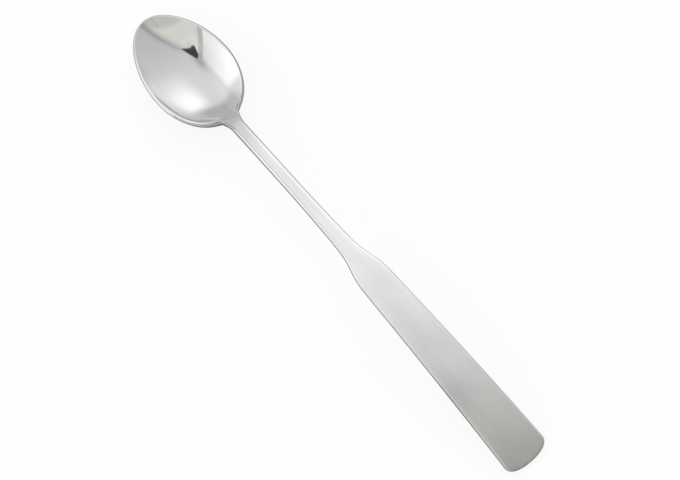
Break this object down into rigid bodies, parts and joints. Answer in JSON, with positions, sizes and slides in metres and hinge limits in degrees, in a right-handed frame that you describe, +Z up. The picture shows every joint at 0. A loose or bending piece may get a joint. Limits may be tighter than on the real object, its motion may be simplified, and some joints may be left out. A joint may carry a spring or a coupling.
{
  "type": "iced tea spoon",
  "caption": "Long steel spoon with a polished egg-shaped bowl, a slim shank and a broad arched handle with a rounded end, for stirring and sipping tall drinks.",
  "frame": {"origin": "on the table, at the middle of the spoon's bounding box seen from above", "axes": "+X from the bowl's tip to the handle's end, +Y across the spoon, +Z up with the bowl's hollow facing up"},
  "size_m": [0.1901, 0.0294, 0.0137],
  "materials": {
    "polished_steel": "polished",
    "satin_steel": "satin"
  },
  "bodies": {
    "root": {"bowl": "polished_steel", "shank": "satin_steel", "handle": "satin_steel"}
  },
  "joints": []
}
